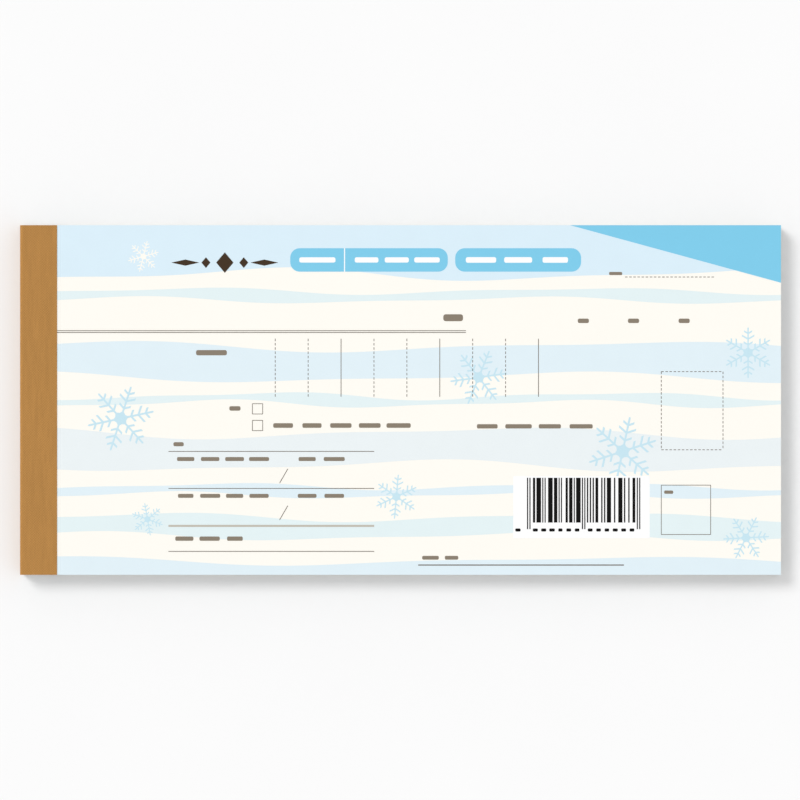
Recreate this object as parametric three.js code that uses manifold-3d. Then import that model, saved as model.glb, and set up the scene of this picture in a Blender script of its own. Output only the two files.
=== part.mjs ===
// A carbonless form book, lying flat with its front cover up.
// Sizes are in millimetres. X runs from the bound spine to the fore-edge, Y up the printed page
// and Z from the back cover to the front cover. The origin is the middle of the underside.
// Each form set is a receipt sheet over a copy sheet, and pressure on the receipt marks the copy.

import * as THREE from 'three';
import { mergeVertices } from 'three/addons/utils/BufferGeometryUtils.js';
import Module from 'manifold-3d';

const wasm = await Module();
wasm.setup();

// Book
const bookLength = 185;
const bookWidth = 85;
const formSetCount = 40;
const turnedSetCount = 2;

// Paper and board
const sheetThickness = 0.065;
const leafGap = 0.005;
const frontCoverThickness = 0.25;
const backCoverThickness = 0.45;
const shieldCardThickness = 0.335;

// Folds and perforations, as distances from the outside of the spine
const foldInset = 10;
const foldGap = 0.3;
const perforationInset = 12;
const perforationGap = 0.1;

// Binding tape and the glue under it
const tapeThickness = 0.15;
const tapeOverlap = 9;
const glueThickness = 0.2;
const glueBite = 0.3;

// Staples of flat wire, with their legs folded inwards at the back
const wireWidth = 0.5;
const wireThickness = 0.38;
const wireClearance = 0.05;
const crownLength = 12;
const clinchLength = 4;
const stapleInset = 4.5;
const stapleSpacing = 42;

// Places along the book
const spineX = -bookLength / 2;
const foreEdgeX = bookLength / 2;
const glueX = spineX + tapeThickness + leafGap;
const leafX = glueX + glueThickness + leafGap;
const stubEndX = spineX + foldInset - foldGap / 2;
const panelX = spineX + foldInset + foldGap / 2;
const marginEndX = spineX + perforationInset - perforationGap / 2;
const tornEdgeX = spineX + perforationInset + perforationGap / 2;
const stapleX = spineX + stapleInset;
const stapleYs = { lower_staple: -stapleSpacing / 2, upper_staple: stapleSpacing / 2 };

// Levels, from the table upwards
const sheetPitch = sheetThickness + leafGap;
const shieldCardBase = backCoverThickness + leafGap;
const firstSheetBase = shieldCardBase + shieldCardThickness + leafGap;
const frontCoverBase = firstSheetBase + 2 * formSetCount * sheetPitch;
const frontCoverTop = frontCoverBase + frontCoverThickness;
const upperTapeBase = frontCoverTop + leafGap;
const bookTop = upperTapeBase + tapeThickness;
const backStripBase = firstSheetBase - leafGap - backCoverThickness;
const lowerTapeBase = backStripBase - leafGap - tapeThickness;
const crownBase = frontCoverTop - wireThickness;
const clinchTop = backStripBase + wireThickness;

const materials = {
	tape: new THREE.MeshStandardMaterial({ color: 0xb5844a, roughness: 0.8, metalness: 0 }),
	glue: new THREE.MeshStandardMaterial({ color: 0xe9e2cf, roughness: 0.5, metalness: 0 }),
	wire: new THREE.MeshStandardMaterial({ color: 0xb9bcc0, roughness: 0.35, metalness: 1 }),
	cover: new THREE.MeshStandardMaterial({ color: 0xfffdf6, roughness: 0.6, metalness: 0 }),
	receipt: new THREE.MeshStandardMaterial({ color: 0xfbfaf5, roughness: 0.85, metalness: 0 }),
	copy: new THREE.MeshStandardMaterial({ color: 0xe3eef4, roughness: 0.85, metalness: 0 }),
	board: new THREE.MeshStandardMaterial({ color: 0xc9c4b8, roughness: 0.85, metalness: 0 }),
};

const book = new THREE.Group();

function addPiece( name, geometry, material, place ) {

	const mesh = new THREE.Mesh( geometry, material );
	mesh.name = name;
	mesh.position.set( place.x ?? 0, place.y ?? 0, place.z ?? 0 );
	book.add( mesh );

}

function rectangle( Outline, left, right, low, high ) {

	const outline = new Outline();
	outline.moveTo( left, low );
	outline.lineTo( right, low );
	outline.lineTo( right, high );
	outline.lineTo( left, high );
	outline.closePath();
	return outline;

}

function outlineOf( points ) {

	return new THREE.Shape( points.map( ( [ across, up ] ) => new THREE.Vector2( across, up ) ) );

}

// Solids that are joined

function solidOf( geometry ) {

	geometry.deleteAttribute( 'normal' );
	geometry.deleteAttribute( 'uv' );
	const merged = mergeVertices( geometry );
	return new wasm.Manifold( new wasm.Mesh( {
		numProp: 3,
		vertProperties: new Float32Array( merged.attributes.position.array ),
		triVerts: new Uint32Array( merged.index.array ),
	} ) );

}

function geometryOf( solid ) {

	const { vertProperties, triVerts } = solid.getMesh();
	const geometry = new THREE.BufferGeometry();
	geometry.setAttribute( 'position', new THREE.BufferAttribute( vertProperties, 3 ) );
	geometry.setIndex( new THREE.BufferAttribute( triVerts, 1 ) );
	return geometry;

}

// Openings for the staples

function openingsAt( spans ) {

	const halfWidth = wireWidth / 2 + wireClearance;
	return Object.values( stapleYs ).flatMap( ( centre ) => spans.map( ( [ low, high ] ) => rectangle(
		THREE.Path,
		stapleX - halfWidth,
		stapleX + halfWidth,
		centre + low - wireClearance,
		centre + high + wireClearance,
	) ) );

}

const crownSlots = openingsAt( [ [ -crownLength / 2, crownLength / 2 ] ] );

const legHoles = openingsAt( [
	[ -crownLength / 2, -crownLength / 2 + wireThickness ],
	[ crownLength / 2 - wireThickness, crownLength / 2 ],
] );

const clinchSlots = openingsAt( [
	[ -crownLength / 2, -crownLength / 2 + clinchLength ],
	[ crownLength / 2 - clinchLength, crownLength / 2 ],
] );

// A leaf is a flat sheet of the book's full width. Where it is bound, it is pierced by the staples.

function leafGeometry( startX, endX, thickness, openings = [] ) {

	const outline = rectangle( THREE.Shape, startX, endX, -bookWidth / 2, bookWidth / 2 );
	outline.holes = openings;
	return new THREE.ExtrudeGeometry( outline, { depth: thickness, bevelEnabled: false } );

}

function stapleOpenings( base, thickness ) {

	const meetsCrown = base + thickness > crownBase - leafGap;
	const meetsClinch = base < clinchTop + leafGap;
	return meetsCrown ? crownSlots : meetsClinch ? clinchSlots : legHoles;

}

function addBoundLeaf( name, endX, base, thickness, material ) {

	const geometry = leafGeometry( leafX, endX, thickness, stapleOpenings( base, thickness ) );
	addPiece( name, geometry, material, { z: base } );

}

function addTurningLeaf( name, startX, endX, base, thickness, material ) {

	addPiece( name, leafGeometry( startX, endX, thickness ), material, { z: base } );

}

// Sets are counted from the front cover, and a set's copy sheet lies under its receipt sheet

function copyBase( set ) {

	return firstSheetBase + 2 * ( formSetCount - set ) * sheetPitch;

}

function numbered( name, set ) {

	return `${ name }_${ String( set ).padStart( 2, '0' ) }`;

}

// Covers

function addCovers() {

	addBoundLeaf( 'front_cover_strip', stubEndX, frontCoverBase, frontCoverThickness, materials.cover );
	addTurningLeaf( 'front_cover', panelX, foreEdgeX, frontCoverBase, frontCoverThickness, materials.cover );
	addBoundLeaf( 'back_cover_strip', stubEndX, backStripBase, backCoverThickness, materials.board );
	addTurningLeaf( 'back_cover', panelX, foreEdgeX, 0, backCoverThickness, materials.board );
	addTurningLeaf( 'shield_card', panelX, foreEdgeX, shieldCardBase, shieldCardThickness, materials.board );

}

// Sets that turn with the front cover: the stubs stay bound, the copy sheet and the receipt's
// margin turn about the fold, and the receipt tears off along its perforation

function addTurnedSet( set ) {

	const base = copyBase( set );
	const receiptBase = base + sheetPitch;
	addBoundLeaf( numbered( 'copy_stub', set ), stubEndX, base, sheetThickness, materials.copy );
	addTurningLeaf( numbered( 'copy_sheet', set ), panelX, foreEdgeX, base, sheetThickness, materials.copy );
	addBoundLeaf( numbered( 'receipt_stub', set ), stubEndX, receiptBase, sheetThickness, materials.receipt );
	addTurningLeaf(
		numbered( 'receipt_margin', set ),
		panelX,
		marginEndX,
		receiptBase,
		sheetThickness,
		materials.receipt,
	);
	addTurningLeaf(
		numbered( 'receipt_sheet', set ),
		tornEdgeX,
		foreEdgeX,
		receiptBase,
		sheetThickness,
		materials.receipt,
	);

}

// The set that is written on: its leaves lie flat, and its receipt tears off

function addWritingSet( set ) {

	const base = copyBase( set );
	const receiptBase = base + sheetPitch;
	addBoundLeaf( numbered( 'copy_sheet', set ), foreEdgeX, base, sheetThickness, materials.copy );
	addBoundLeaf( numbered( 'receipt_stub', set ), marginEndX, receiptBase, sheetThickness, materials.receipt );
	addTurningLeaf(
		numbered( 'receipt_sheet', set ),
		tornEdgeX,
		foreEdgeX,
		receiptBase,
		sheetThickness,
		materials.receipt,
	);

}

// An unused set is one solid: its two sheets are apart, but for the glue that has crept between them
// along the spine

function addUnusedSet( set ) {

	const base = copyBase( set );
	const openings = stapleOpenings( base, sheetPitch + sheetThickness );
	const copy = leafGeometry( leafX, foreEdgeX, sheetThickness, openings );
	const receipt = copy.clone().translate( 0, 0, sheetPitch );
	const glue = leafGeometry( leafX, leafX + glueBite, sheetPitch + sheetThickness );
	const pair = solidOf( copy ).add( solidOf( receipt ) ).add( solidOf( glue ) );
	addPiece( numbered( 'form_set', set ), geometryOf( pair ), materials.receipt, { z: base } );

}

function addFormSets() {

	const writingSet = turnedSetCount + 1;
	for ( let set = 1; set < writingSet; set ++ ) addTurnedSet( set );
	addWritingSet( writingSet );
	for ( let set = writingSet + 1; set <= formSetCount; set ++ ) addUnusedSet( set );

}

// Binding tape: one strip, folded round the spine onto both covers

function addBindingTape() {

	const innerX = spineX + tapeThickness;
	const edgeX = spineX + tapeOverlap;
	const section = outlineOf( [
		[ spineX, lowerTapeBase ],
		[ edgeX, lowerTapeBase ],
		[ edgeX, lowerTapeBase + tapeThickness ],
		[ innerX, lowerTapeBase + tapeThickness ],
		[ innerX, upperTapeBase ],
		[ edgeX, upperTapeBase ],
		[ edgeX, bookTop ],
		[ spineX, bookTop ],
	] );
	const geometry = new THREE.ExtrudeGeometry( section, { depth: bookWidth, bevelEnabled: false } );
	geometry.rotateX( Math.PI / 2 );
	addPiece( 'binding_tape', geometry, materials.tape, { y: bookWidth / 2 } );

}

function addSpineGlue() {

	const outline = rectangle( THREE.Shape, glueX, glueX + glueThickness, -bookWidth / 2, bookWidth / 2 );
	const depth = frontCoverTop - backStripBase;
	const geometry = new THREE.ExtrudeGeometry( outline, { depth, bevelEnabled: false } );
	addPiece( 'spine_glue', geometry, materials.glue, { z: backStripBase } );

}

// Staples: the crown lies along the spine, flush with the front cover, and the legs end in the back cover

function stapleSection() {

	const side = crownLength / 2;
	const inner = side - wireThickness;
	const clinchEnd = side - clinchLength;
	const half = [
		[ clinchEnd, backStripBase ],
		[ side, backStripBase ],
		[ side, frontCoverTop ],
	];
	const inside = [
		[ clinchEnd, clinchTop ],
		[ inner, clinchTop ],
		[ inner, crownBase ],
	];
	const mirrored = ( points ) => points.map( ( [ across, up ] ) => [ -across, up ] );
	return outlineOf( [
		...half,
		...mirrored( half ).toReversed(),
		...mirrored( inside ),
		...inside.toReversed(),
	] );

}

function addStaples() {

	for ( const [ name, y ] of Object.entries( stapleYs ) ) {

		const geometry = new THREE.ExtrudeGeometry( stapleSection(), { depth: wireWidth, bevelEnabled: false } );
		geometry.rotateX( Math.PI / 2 );
		geometry.rotateZ( Math.PI / 2 );
		addPiece( name, geometry, materials.wire, { x: stapleX - wireWidth / 2, y } );

	}

}

addCovers();
addFormSets();
addBindingTape();
addSpineGlue();
addStaples();

export default book;
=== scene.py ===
"""Carbonless form book: the looks of a tape-bound book of paired forms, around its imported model.

X runs from the bound spine to the fore-edge, Y up the printed page and Z out of the front cover.
Places on the printed page are measured from its top left corner, in millimetres.
"""

import math
import random
from functools import cache, partial
from typing import NamedTuple

import bmesh
import bpy
from mathutils import Matrix, Vector


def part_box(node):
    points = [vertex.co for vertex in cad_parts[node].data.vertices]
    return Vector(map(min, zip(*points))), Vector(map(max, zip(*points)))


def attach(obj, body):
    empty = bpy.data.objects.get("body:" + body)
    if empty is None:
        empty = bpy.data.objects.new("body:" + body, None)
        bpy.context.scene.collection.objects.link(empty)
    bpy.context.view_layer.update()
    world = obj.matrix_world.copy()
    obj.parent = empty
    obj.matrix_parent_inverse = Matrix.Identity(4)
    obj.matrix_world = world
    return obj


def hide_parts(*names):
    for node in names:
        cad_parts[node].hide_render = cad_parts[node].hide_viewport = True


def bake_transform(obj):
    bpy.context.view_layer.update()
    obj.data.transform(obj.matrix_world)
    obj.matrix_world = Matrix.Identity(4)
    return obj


bl_info = {
    "name": "Carbonless form book",
    "version": (1, 0, 0),
    "blender": (4, 5, 0),
    "location": "View3D > Sidebar > Form book",
    "description": "Builds a tape-bound book of carbonless forms, with its print, sheets, covers and stage",
    "category": "Add Mesh",
}

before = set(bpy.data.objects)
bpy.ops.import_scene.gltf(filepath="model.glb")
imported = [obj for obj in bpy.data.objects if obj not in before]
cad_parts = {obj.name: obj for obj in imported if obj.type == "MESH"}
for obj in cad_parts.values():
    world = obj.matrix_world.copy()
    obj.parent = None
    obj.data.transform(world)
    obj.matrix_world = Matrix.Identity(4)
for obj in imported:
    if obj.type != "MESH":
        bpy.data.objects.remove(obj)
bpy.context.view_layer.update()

MM = 0.001


# Places taken from the frame


def low(node):
    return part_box(node)[0]


def high(node):
    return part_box(node)[1]


SPINE_X = low("binding_tape").x
TAPE_EDGE_X = high("binding_tape").x
FORE_EDGE_X = high("front_cover").x
LEAF_X = low("front_cover_strip").x
FOLD_X = (high("front_cover_strip").x + low("front_cover").x) / 2
PERFORATION_X = (high("receipt_margin_01").x + low("receipt_sheet_01").x) / 2
TOP_Y = high("front_cover").y
BOTTOM_Y = low("front_cover").y
COVER_TOP = high("front_cover").z
SHEET_THICKNESS = high("receipt_sheet_01").z - low("receipt_sheet_01").z
SHEET_PITCH = low("receipt_sheet_01").z - low("copy_sheet_01").z
FORM_SETS = sorted(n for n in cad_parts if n.startswith("form_set_"))
STAPLES = ("upper_staple", "lower_staple")

# Clearances that keep one piece or print off the next
TAPE_GAP = 0.005 * MM
BOARD_STEP_GAP = 0.25 * MM
SHEET_INSET = 0.03 * MM
TORN_GAP = 0.02 * MM
PRINT_MARGIN = 0.12 * MM
COVER_PRINT_GAP = 0.02 * MM

# Nearer than this, a cut across a shape goes through the point that is there
CUT_SNAP = 0.001 * MM


# Settings a user would change


def number(name, description, default, **more):
    return bpy.props.FloatProperty(name=name, description=description, default=default, **more)


def length(name, description, millimetres):
    """A size, given in millimetres and kept in metres."""
    return number(name, description, millimetres * MM, unit="LENGTH", precision=6)


def colour(name, description, *levels):
    """A printed colour, given as 0 to 255 in sRGB and kept as a linear colour."""
    shares = [level / 255 for level in levels]
    linear = [share / 12.92 if share <= 0.04045 else ((share + 0.055) / 1.055) ** 2.4 for share in shares]
    return bpy.props.FloatVectorProperty(
        name=name, description=description, default=linear, subtype="COLOR", min=0.0, max=1.0
    )


class BookSizes(bpy.types.PropertyGroup):
    """Sizes of the fine shape that the solids leave out."""

    sheet_body: length("Sheet", "Thickness of a sheet under its print", 0.05)
    page_ink: length("Page ink", "Height of the print on a sheet", 0.01)
    cover_ink: length("Cover ink", "Height of the cover's first layer of print", 0.012)
    fold_reach: length("Fold", "Length of leaf that bends when it is turned", 1.5)
    crease_depth: length("Crease", "Depth of the scored line in the front cover", 0.03)
    crease_width: length("Crease width", "Width of the scored line in the front cover", 0.5)
    tape_bend: length("Tape bend", "Outer radius of the tape round the spine", 0.42)
    staple_ridge: length("Staple ridge", "How far a staple lifts the tape", 0.05)
    ridge_width: length("Ridge width", "How far the ridge reaches to each side of the staple", 0.55)
    ridge_fade: length("Ridge fade", "How far the ridge runs on past the staple's ends", 0.8)
    glue_draw: length("Glue draw", "How far the glue film is drawn in along its long edges", 0.12)
    glue_fade: length("Glue fade", "Width of the glue's drawn-in edge", 0.3)
    wire: length("Wire", "Thickness of the flat staple wire", 0.38)
    wire_bend: length("Wire bend", "Outer radius of the staple's bends", 0.32)
    wire_round: length("Wire rounding", "Rounding of the wire's edges", 0.07)
    clinch: length("Clinch", "Length of the staple's folded ends", 4.0)
    shield_corner: length("Shield corner", "Radius of the shield card's corners", 1.5)
    shield_round: length("Shield rounding", "Rounding of the shield card's edges", 0.06)
    tie_pitch: length("Tie pitch", "Distance between the ties of a perforation", 1.1)
    tie_depth: length("Tie depth", "How far the torn ties stand out of the cuts between them", 0.14)
    trim_error: length("Trim error", "How far the shortest sheets stand back from the cut edge", 0.22)


class PrintColours(bpy.types.PropertyGroup):
    """Colours of the stock, under the names of its material slots, and of the inks."""

    cover_card: colour("Cover card", "Cream of the front cover", 255, 252, 244)
    receipt_paper: colour("Receipt paper", "White of the receipt sheets", 252, 251, 246)
    copy_paper: colour("Copy paper", "Pale blue of the copy sheets", 226, 238, 246)
    back_board: colour("Back board", "Grey of the back cover", 196, 188, 174)
    shield_board: colour("Shield board", "Off-white of the shield card", 236, 232, 220)
    binding_tape: colour("Binding tape", "Brown of the paper cloth", 180, 129, 64)
    padding_glue: colour("Padding glue", "Milky white of the dried glue", 238, 232, 214)
    staple_wire: colour("Staple wire", "Grey of the steel", 190, 190, 194)
    band: colour("Band", "Pale blue of the top band", 219, 239, 250)
    haze: colour("Haze", "Lighter blue of some bands", 226, 241, 248)
    mist: colour("Mist", "Greener blue of some bands", 229, 243, 245)
    pale: colour("Pale", "Palest grey blue of some bands", 236, 243, 245)
    crystal: colour("Crystal", "Blue of the snow crystals", 199, 230, 242)
    sky: colour("Sky", "Strong blue of the labels and the corner", 125, 204, 235)
    white: colour("White", "White of the labels' marks and of the ground under the bars", 255, 255, 255)
    letter: colour("Brown ink", "Brown of the ornament", 66, 50, 34)
    word: colour("Word ink", "Screened brown of the form's short marks", 136, 124, 108)
    rule: colour("Rule ink", "Grey brown of the thin rules", 112, 102, 92)
    tint: colour("Tint", "Pale brown of the thick rule", 194, 188, 176)
    black: colour("Black ink", "Black of the bars", 8, 7, 7)
    copy_ink: colour("Copy ink", "Blue of the print on the copy sheets", 96, 150, 184)
    copy_word: colour("Copy word ink", "Screened blue of the form's short marks", 136, 178, 204)


class StageSettings(bpy.types.PropertyGroup):
    """The camera, the lights and the floor."""

    frame_width: length("Frame width", "Width that the picture covers at the front cover", 194.48)
    frame_shift: length("Shift", "How far the book stands right of the picture's middle", 0.12)
    lens: number("Lens", "Focal length", 200.0, unit="CAMERA")
    sensor: number("Sensor", "Sensor width", 36.0, unit="CAMERA")
    floor_size: length("Floor", "Side of the square floor", 12000.0)
    floor_tone: number("Floor tone", "Share of the light that the floor gives back", 0.86)
    overhead: number("Overhead", "Brightness straight above", 0.71)
    horizon: number("Horizon", "Brightness at the horizon", 0.97)
    key_direction: bpy.props.FloatVectorProperty(
        name="Key direction", description="Towards the key light", default=(-1.6, 1.4, 2.8), subtype="XYZ"
    )
    key_spread: number("Key spread", "Angle that the key light fills", math.radians(22), subtype="ANGLE")
    key_strength: number("Key strength", "Strength of the key light in watts per square metre", 1.33)


class FormBookSettings(bpy.types.PropertyGroup):
    """All settings of the form book."""

    sizes: bpy.props.PointerProperty(type=BookSizes)
    colours: bpy.props.PointerProperty(type=PrintColours)
    stage: bpy.props.PointerProperty(type=StageSettings)


def settings():
    return bpy.context.scene.form_book


# Node trees


class Wire:
    """An output socket that can be used in sums. Each sum adds a Math node to its tree."""

    def __init__(self, builder, socket):
        self.builder = builder
        self.socket = socket

    def math(self, operation, *values):
        return self.builder.wire("ShaderNodeMath", dict(enumerate(values)), operation=operation)

    def __add__(self, other):
        return self.math("ADD", self, other)

    def __sub__(self, other):
        return self.math("SUBTRACT", self, other)

    def __rsub__(self, other):
        return self.math("SUBTRACT", other, self)

    def __mul__(self, other):
        return self.math("MULTIPLY", self, other)

    def __truediv__(self, other):
        return self.math("DIVIDE", self, other)

    def __rtruediv__(self, other):
        return self.math("DIVIDE", other, self)

    __radd__ = __add__
    __rmul__ = __mul__

    def sine(self):
        return self.math("SINE", self)

    def size(self):
        return self.math("ABSOLUTE", self)

    def above(self, limit, softness):
        """0 below the limit and 1 above it, with a soft step between."""
        ends = {"Value": self, "From Min": limit - softness, "From Max": limit + softness}
        return self.builder.wire("ShaderNodeMapRange", ends, interpolation_type="SMOOTHSTEP")


class Builder:
    """Adds nodes to a shader or geometry tree. A socket takes a value or a wire."""

    def __init__(self, tree):
        self.tree = tree

    def node(self, kind, sockets=None, **options):
        """Adds a node, sets its options and then its sockets."""
        made = self.tree.nodes.new(kind)
        for name, value in options.items():
            setattr(made, name, value)
        for key, value in (sockets or {}).items():
            if isinstance(value, Wire):
                self.tree.links.new(value.socket, made.inputs[key])
            else:
                made.inputs[key].default_value = value
        return made

    def wire(self, kind, sockets=None, output=0, **options):
        return Wire(self, self.node(kind, sockets, **options).outputs[output])

    def vector(self, x=0.0, y=0.0, z=0.0):
        return self.wire("ShaderNodeCombineXYZ", {0: x, 1: y, 2: z})

    def apart(self, vector):
        """The three numbers of a vector."""
        return [Wire(self, part) for part in self.node("ShaderNodeSeparateXYZ", {0: vector}).outputs]


# Materials


# Share of the light that white paper gives back. All tones but the bare ones are parts of it.
PAPER_WHITE = 0.885
BARE_TONES = ("padding_glue", "staple_wire")

INK_GLOSS = 0.3
DARK_INK_GLOSS = 0.1

# Distance between the threads pressed into the tape, in millimetres
THREAD_PITCH = 0.62

# A Mix node's colour sockets go by number, because its sockets for numbers have the same names
MIX_FIRST, MIX_SECOND, MIX_RESULT = 6, 7, 2


class Finish(Builder):
    """A material under construction, with its own tone and its object coordinates in millimetres."""

    def __init__(self, name, tone):
        self.material = bpy.data.materials.new(name)
        self.material.use_nodes = True
        super().__init__(self.material.node_tree)
        self.tree.nodes.clear()
        self.tone = tone
        position = self.wire("ShaderNodeTexCoord", output="Object")
        self.place = self.wire("ShaderNodeVectorMath", {0: position, "Scale": 1 / MM}, operation="SCALE")
        self.x, self.y, self.z = self.apart(self.place)

    def cut_edge(self):
        """1 on faces that stand upright, and 0 on those that lie flat."""
        return 1 - self.apart(self.wire("ShaderNodeTexCoord", output="Normal"))[2].size().above(0.6, 0.2)

    def noise(self, scale, detail=2.0, stretch=(1, 1, 1)):
        """Noise between 0 and 1, with its grain about 1 / scale millimetres wide."""
        place = self.wire("ShaderNodeVectorMath", {0: self.place, 1: stretch}, operation="MULTIPLY")
        return self.wire("ShaderNodeTexNoise", {"Vector": place, "Scale": scale, "Detail": detail})

    def shade(self, factor):
        """The finish's tone, made lighter or darker."""
        return [min(1.0, channel * factor) for channel in self.tone] + [1.0]

    def mix(self, share, *ends):
        """A colour between two ends, each one a wire or a factor of the finish's tone."""
        first, second = (end if isinstance(end, Wire) else self.shade(end) for end in ends)
        sockets = {0: share, MIX_FIRST: first, MIX_SECOND: second}
        return self.wire("ShaderNodeMix", sockets, MIX_RESULT, data_type="RGBA")

    def close(self, base, roughness, gloss, height, depth, metallic=0.0):
        """Ends the material with its shader. Its surface follows height, over a depth in millimetres."""
        sockets = {
            "Base Color": base,
            "Roughness": roughness,
            "Specular IOR Level": gloss,
            "Metallic": metallic,
            "Normal": self.wire("ShaderNodeBump", {"Height": height, "Distance": depth * MM}),
        }
        self.surface(self.wire("ShaderNodeBsdfPrincipled", sockets))

    def surface(self, shader):
        self.node("ShaderNodeOutputMaterial", {"Surface": shader})


def paper_finish(finish, perforated=False):
    """Uncoated paper. Its cut edges are painted darker, in streaks from sheet to sheet that mix random tone
    with painted shade of the gaps between sheets, and a perforation's cuts get painted shade.
    """
    fibres = finish.noise(5.0, 4.0, (1.0, 2.2, 1.0))
    clouds = finish.noise(0.12)
    sheets = finish.noise(2.2, 5.0, (0.02, 0.02, 1.0)) - 0.5
    plain = finish.mix(fibres * 0.7 + clouds * 0.3, 0.96, 1.03)
    # Painted shade on upright cut edges: darker on the whole, in streaks that change from sheet to sheet
    shade = finish.cut_edge() * (sheets * 2.4 + 0.36)
    # Painted shade in the perforation: its cuts are painted dark, and its ties only a little darker
    if perforated:
        off_line = (finish.x - PERFORATION_X / MM).size()
        turns = 2 * math.pi * MM / settings().sizes.tie_pitch
        ties = ((finish.y - BOTTOM_Y / MM) * turns).sine().above(-0.2, 0.3)
        shade = shade + (1 - off_line.above(0.13, 0.05)) * (1 - ties * 0.8)
    finish.close(finish.mix(shade, plain, 0.68), 0.8 - fibres * 0.12, 0.25, fibres, 0.012)


def card_finish(finish):
    """Smooth printing card, a little darker along its long edges."""
    fibres = finish.noise(3.2, 4.0)
    clouds = finish.noise(0.09)
    # Darker in a thin, uneven strip at the long edges
    edge = (finish.y.size() + finish.noise(0.8) * 0.4).above(TOP_Y / MM + 0.12, 0.12)
    plain = finish.mix(fibres * 0.4 + clouds * 0.6, 0.985, 1.012)
    finish.close(finish.mix(edge * 0.5, plain, 0.9), 0.52 + fibres * 0.14, 0.3, fibres, 0.008)


def ink_finish(finish, gloss=INK_GLOSS):
    """Offset ink: the colour lies a little unevenly over the card's fibres."""
    fibres = finish.noise(3.2, 4.0)
    clouds = finish.noise(0.2)
    base = finish.mix(fibres * 0.5 + clouds * 0.5, 0.97, 1.03)
    finish.close(base, 0.5 + fibres * 0.12, gloss, fibres, 0.008)


def tape_finish(finish):
    """Paper cloth tape: a crossed thread emboss, streaks along the spine and paler worn bends."""
    turns = 2 * math.pi / THREAD_PITCH
    wander = finish.noise(0.6) * 2.0
    across = (finish.y * turns + wander).sine()
    along = ((finish.x + finish.z) * turns + wander).sine()
    weave = across * along
    streaks = finish.noise(1.4, 3.0, (1.0, 0.12, 1.0))
    speckle = finish.noise(6.0)
    bottom = low("binding_tape").z
    middle, half = (bottom + COVER_TOP) / 2 / MM, (COVER_TOP - bottom) / 2 / MM
    near_spine = (SPINE_X / MM + 0.5 - finish.x).above(0.0, 0.3)
    bends = near_spine * (finish.z - middle).size().above(half - 0.25, 0.25)
    worn = bends * speckle.above(0.5, 0.12) * 0.4
    plain = finish.mix(streaks * 0.5 + speckle * 0.35 + weave * 0.2 + 0.08, 0.74, 1.28)
    finish.close(finish.mix(worn, plain, 1.7), 0.72 - streaks * 0.12, 0.3, weave * 0.6 + speckle, 0.05)


def board_finish(finish, flecks):
    """Pressed board of mixed fibres, with darker flecks and layered cut edges."""
    fibres = finish.noise(2.4, 4.0, (1.0, 1.8, 1.0))
    layers = finish.noise(1.0, 1.0, (0.1, 0.1, 9.0)) * finish.cut_edge()
    specks = finish.noise(1.7, 5.0).above(0.66, 0.03) * flecks
    plain = finish.mix(fibres * 0.8 + layers * 0.4, 0.9, 1.08)
    finish.close(finish.mix(specks, plain, 0.45), 0.86 - fibres * 0.1, 0.25, fibres, 0.02)


def glue_finish(finish):
    """Dried padding glue, milky and slightly wavy."""
    waves = finish.noise(0.8)
    finish.close(finish.mix(waves, 0.7, 0.85), 0.35 + waves * 0.2, 0.5, waves, 0.05)


def steel_finish(finish):
    """Drawn steel wire, with fine lines along it."""
    lines = finish.noise(6.0, 2.0, (1.0, 0.05, 1.0))
    finish.close(finish.mix(lines, 0.85, 1.05), 0.28 + lines * 0.2, 0.5, lines, 0.01, metallic=1.0)


def floor_finish(finish):
    """Pale even floor that is seen from above alone, so that the book's underside can be looked at."""
    matte = finish.wire("ShaderNodeBsdfDiffuse", {"Color": finish.mix(finish.noise(0.02), 0.99, 1.01)})
    clear = finish.wire("ShaderNodeBsdfTransparent")
    behind = finish.wire("ShaderNodeNewGeometry", output="Backfacing")
    finish.surface(finish.wire("ShaderNodeMixShader", {0: behind, 1: matte, 2: clear}))


# What makes each finish, by the name of its colour. All others are inks.
MAKERS = {
    "cover_card": (card_finish,),
    "receipt_paper": (paper_finish, True),
    "copy_paper": (paper_finish,),
    "back_board": (board_finish, 0.7),
    "shield_board": (board_finish, 0.25),
    "binding_tape": (tape_finish,),
    "padding_glue": (glue_finish,),
    "staple_wire": (steel_finish,),
    "letter": (ink_finish, DARK_INK_GLOSS),
    "black": (ink_finish, DARK_INK_GLOSS),
}


@cache
def finish_of(name):
    """A finish by the name of its colour, made when it is first asked for."""
    make, *options = MAKERS.get(name, (ink_finish,))
    title = name + " ink" if make is ink_finish else name.replace("_", " ")
    white = 1.0 if name in BARE_TONES else PAPER_WHITE
    finish = Finish(title, [channel * white for channel in getattr(settings().colours, name)])
    make(finish, *options)
    return finish.material


# Meshes


SMOOTH_ANGLE = math.radians(38)

# Steps that the shapes are divided into
TAPE_ROWS = 170
TAPE_COLUMNS = 24
TAPE_BEND_STEPS = 6
WIRE_BEND_STEPS = 4
CORNER_STEPS = 8
GLUE_COLUMNS = 60
GLUE_ROWS = 22
COVER_ROWS = 20
SHEET_COLUMNS = 12
TURNING_ROWS = 12
FLAT_ROWS = 6
FLAT_MARGIN_COLUMNS = 6
CREASE_STEPS = 4
FOLD_STEPS = 10
PANEL_STEPS = 8
BOARD_STRIP_STEPS = 4
BOARD_RISE_STEPS = 6
RIM_STEPS = 2

# Two heights that differ by less than this, in metres, are the same
SAME_HEIGHT = 1e-9

# Where a torn tie starts and ends in a perforation's pitch, and how wide its flanks are, in parts of it
TIE_START = 0.35
TIE_END = 0.54
TIE_FLANK = 0.04


def linked(name, data):
    made = bpy.data.objects.new(name, data)
    bpy.context.scene.collection.objects.link(made)
    return made


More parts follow.
